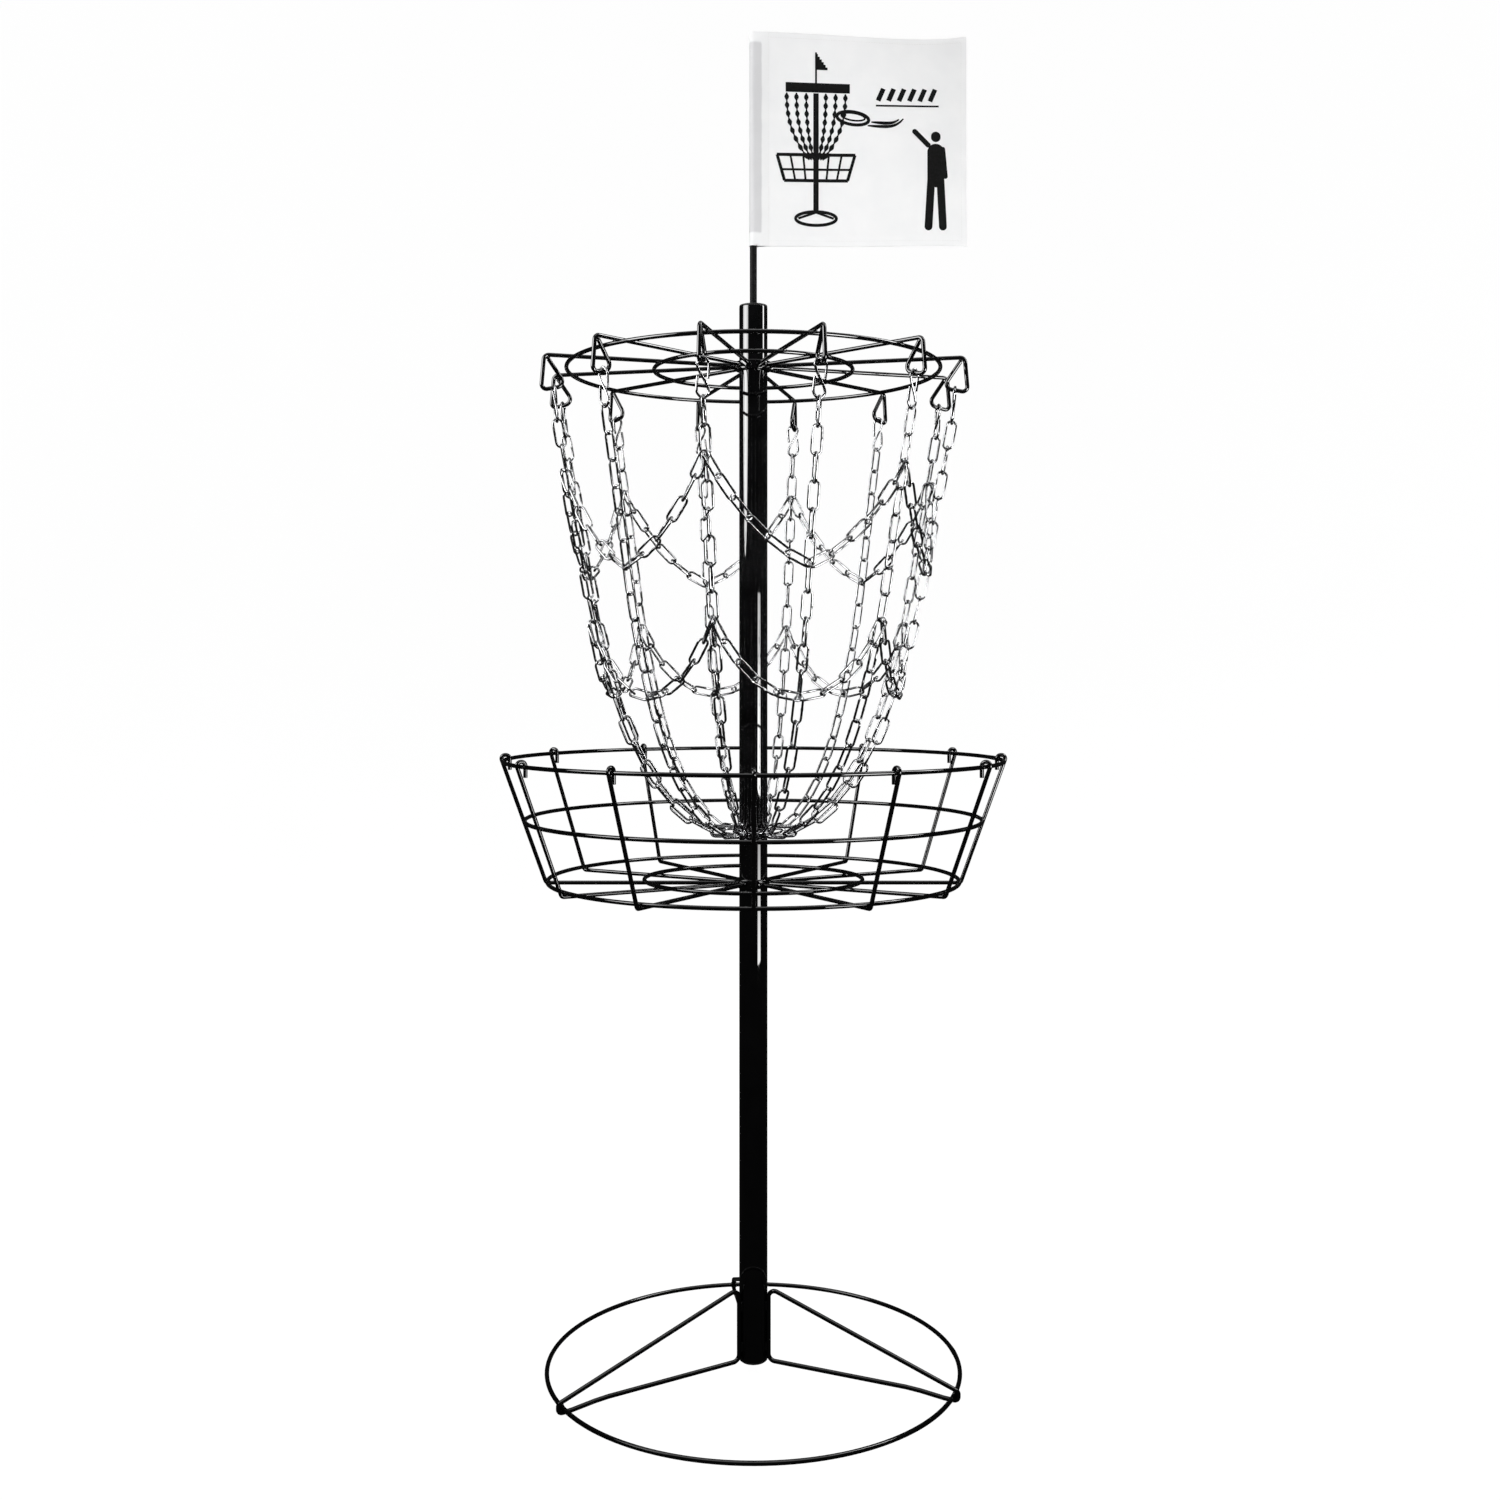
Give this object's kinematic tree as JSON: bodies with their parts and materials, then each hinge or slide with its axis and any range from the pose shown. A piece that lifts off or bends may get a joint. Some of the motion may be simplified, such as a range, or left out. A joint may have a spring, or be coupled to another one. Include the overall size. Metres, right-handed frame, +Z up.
{
  "type": "disc golf basket",
  "caption": "Portable disc golf target: wire base, two-part pole, wire catching basket, hanging chain net and a square flag on a rod.",
  "frame": {"origin": "on the ground, on the pole's axis", "axes": "+Z up along the pole, +X towards the flag's free edge, -Y towards the viewer"},
  "size_m": [0.684, 0.684, 1.802],
  "materials": {
    "black_steel": "glossy black powder coat",
    "zinc_chain": "bright zinc plated steel",
    "black_plastic": "moulded, satin",
    "white_cloth": "plain woven polyester with a black print"
  },
  "bodies": {
    "frame": {"pole_lower": "black_steel", "pole_upper": "black_steel", "pole_top_cap": "black_plastic", "pole_foot_plug": "black_plastic", "base_ring": "black_steel", "base_leg_1": "black_steel", "base_leg_2": "black_steel", "base_leg_3": "black_steel", "basket_hub": "black_steel", "basket_rim_ring": "black_steel", "basket_mid_ring": "black_steel", "basket_floor_ring_outer": "black_steel", "basket_floor_ring_inner": "black_steel", "basket_rib_01": "black_steel", "basket_rib_02": "black_steel", "basket_rib_03": "black_steel", "basket_rib_04": "black_steel", "basket_rib_05": "black_steel", "basket_rib_06": "black_steel", "basket_rib_07": "black_steel", "basket_rib_08": "black_steel", "basket_rib_09": "black_steel", "basket_rib_10": "black_steel", "basket_rib_11": "black_steel", "basket_rib_12": "black_steel", "holder_hub": "black_steel", "holder_ring_outer": "black_steel", "holder_ring_inner": "black_steel", "holder_arm_01": "black_steel", "holder_arm_02": "black_steel", "holder_arm_03": "black_steel", "holder_arm_04": "black_steel", "holder_arm_05": "black_steel", "holder_arm_06": "black_steel", "holder_arm_07": "black_steel", "holder_arm_08": "black_steel", "holder_arm_09": "black_steel", "holder_arm_10": "black_steel", "holder_arm_11": "black_steel", "holder_arm_12": "black_steel", "flag_rod": "black_steel"},
    "strand_01": {"chain_strand_01": "zinc_chain"},
    "strand_02": {"chain_strand_02": "zinc_chain"},
    "strand_03": {"chain_strand_03": "zinc_chain"},
    "strand_04": {"chain_strand_04": "zinc_chain"},
    "strand_05": {"chain_strand_05": "zinc_chain"},
    "strand_06": {"chain_strand_06": "zinc_chain"},
    "strand_07": {"chain_strand_07": "zinc_chain"},
    "strand_08": {"chain_strand_08": "zinc_chain"},
    "strand_09": {"chain_strand_09": "zinc_chain"},
    "strand_10": {"chain_strand_10": "zinc_chain"},
    "strand_11": {"chain_strand_11": "zinc_chain"},
    "strand_12": {"chain_strand_12": "zinc_chain"},
    "upper_swag_chain": {"upper_swag": "zinc_chain"},
    "lower_swag_chain": {"lower_swag": "zinc_chain"},
    "hoop": {"chain_hoop": "zinc_chain"},
    "flag": {"flag": "white_cloth"}
  },
  "joints": [
    {"name": "net_turn", "type": "hinge", "parent": "frame", "child": "lower_swag_chain", "pos_m": [0, 0, 0.96], "axis": [0, 0, 1], "range_deg": [-4.5, 4.5]},
    {"name": "strand_01_swing", "type": "hinge", "parent": "frame", "child": "strand_01", "pos_m": [0.26203, 0.08011, 1.305], "axis": [0.3894, 0.119, 0.9134], "range_deg": [-11.7, 11.7]},
    {"name": "strand_02_swing", "type": "hinge", "parent": "frame", "child": "strand_02", "pos_m": [0.18687, 0.20039, 1.305], "axis": [0.2777, 0.2978, 0.9134], "range_deg": [-11.7, 11.7]},
    {"name": "strand_03_swing", "type": "hinge", "parent": "frame", "child": "strand_03", "pos_m": [0.06164, 0.26698, 1.305], "axis": [0.0916, 0.3967, 0.9134], "range_deg": [-11.7, 11.7]},
    {"name": "strand_04_swing", "type": "hinge", "parent": "frame", "child": "strand_04", "pos_m": [-0.08011, 0.26203, 1.305], "axis": [-0.119, 0.3894, 0.9134], "range_deg": [-11.7, 11.7]},
    {"name": "strand_05_swing", "type": "hinge", "parent": "frame", "child": "strand_05", "pos_m": [-0.20039, 0.18687, 1.305], "axis": [-0.2978, 0.2777, 0.9134], "range_deg": [-11.7, 11.7]},
    {"name": "strand_06_swing", "type": "hinge", "parent": "frame", "child": "strand_06", "pos_m": [-0.26698, 0.06164, 1.305], "axis": [-0.3967, 0.0916, 0.9134], "range_deg": [-11.7, 11.7]},
    {"name": "strand_07_swing", "type": "hinge", "parent": "frame", "child": "strand_07", "pos_m": [-0.26203, -0.08011, 1.305], "axis": [-0.3894, -0.119, 0.9134], "range_deg": [-11.7, 11.7]},
    {"name": "strand_08_swing", "type": "hinge", "parent": "frame", "child": "strand_08", "pos_m": [-0.18687, -0.20039, 1.305], "axis": [-0.2777, -0.2978, 0.9134], "range_deg": [-11.7, 11.7]},
    {"name": "strand_09_swing", "type": "hinge", "parent": "frame", "child": "strand_09", "pos_m": [-0.06164, -0.26698, 1.305], "axis": [-0.0916, -0.3967, 0.9134], "range_deg": [-11.7, 11.7]},
    {"name": "strand_10_swing", "type": "hinge", "parent": "frame", "child": "strand_10", "pos_m": [0.08011, -0.26203, 1.305], "axis": [0.119, -0.3894, 0.9134], "range_deg": [-11.7, 11.7]},
    {"name": "strand_11_swing", "type": "hinge", "parent": "frame", "child": "strand_11", "pos_m": [0.20039, -0.18687, 1.305], "axis": [0.2978, -0.2777, 0.9134], "range_deg": [-11.7, 11.7]},
    {"name": "strand_12_swing", "type": "hinge", "parent": "frame", "child": "strand_12", "pos_m": [0.26698, -0.06164, 1.305], "axis": [0.3967, -0.0916, 0.9134], "range_deg": [-11.7, 11.7]},
    {"name": "upper_swag_turn", "type": "hinge", "parent": "frame", "child": "upper_swag_chain", "pos_m": [0, 0, 1.14], "axis": [0, 0, 1], "range_deg": [-2, 2]},
    {"name": "hoop_turn", "type": "hinge", "parent": "frame", "child": "hoop", "pos_m": [0, 0, 0.724], "axis": [0, 0, 1], "range_deg": [-5, 5]},
    {"name": "flag_turn", "type": "hinge", "parent": "frame", "child": "flag", "pos_m": [0, 0, 1.6], "axis": [0, 0, 1], "continuous": true}
  ],
  "couplings": [
    {"joint": "strand_01_swing", "follows": "net_turn", "ratio": 2.58},
    {"joint": "strand_02_swing", "follows": "net_turn", "ratio": 2.58},
    {"joint": "strand_03_swing", "follows": "net_turn", "ratio": 2.58},
    {"joint": "strand_04_swing", "follows": "net_turn", "ratio": 2.58},
    {"joint": "strand_05_swing", "follows": "net_turn", "ratio": 2.58},
    {"joint": "strand_06_swing", "follows": "net_turn", "ratio": 2.58},
    {"joint": "strand_07_swing", "follows": "net_turn", "ratio": 2.58},
    {"joint": "strand_08_swing", "follows": "net_turn", "ratio": 2.58},
    {"joint": "strand_09_swing", "follows": "net_turn", "ratio": 2.58},
    {"joint": "strand_10_swing", "follows": "net_turn", "ratio": 2.58},
    {"joint": "strand_11_swing", "follows": "net_turn", "ratio": 2.58},
    {"joint": "strand_12_swing", "follows": "net_turn", "ratio": 2.58},
    {"joint": "upper_swag_turn", "follows": "net_turn", "ratio": 0.442},
    {"joint": "hoop_turn", "follows": "net_turn", "ratio": 1}
  ]
}
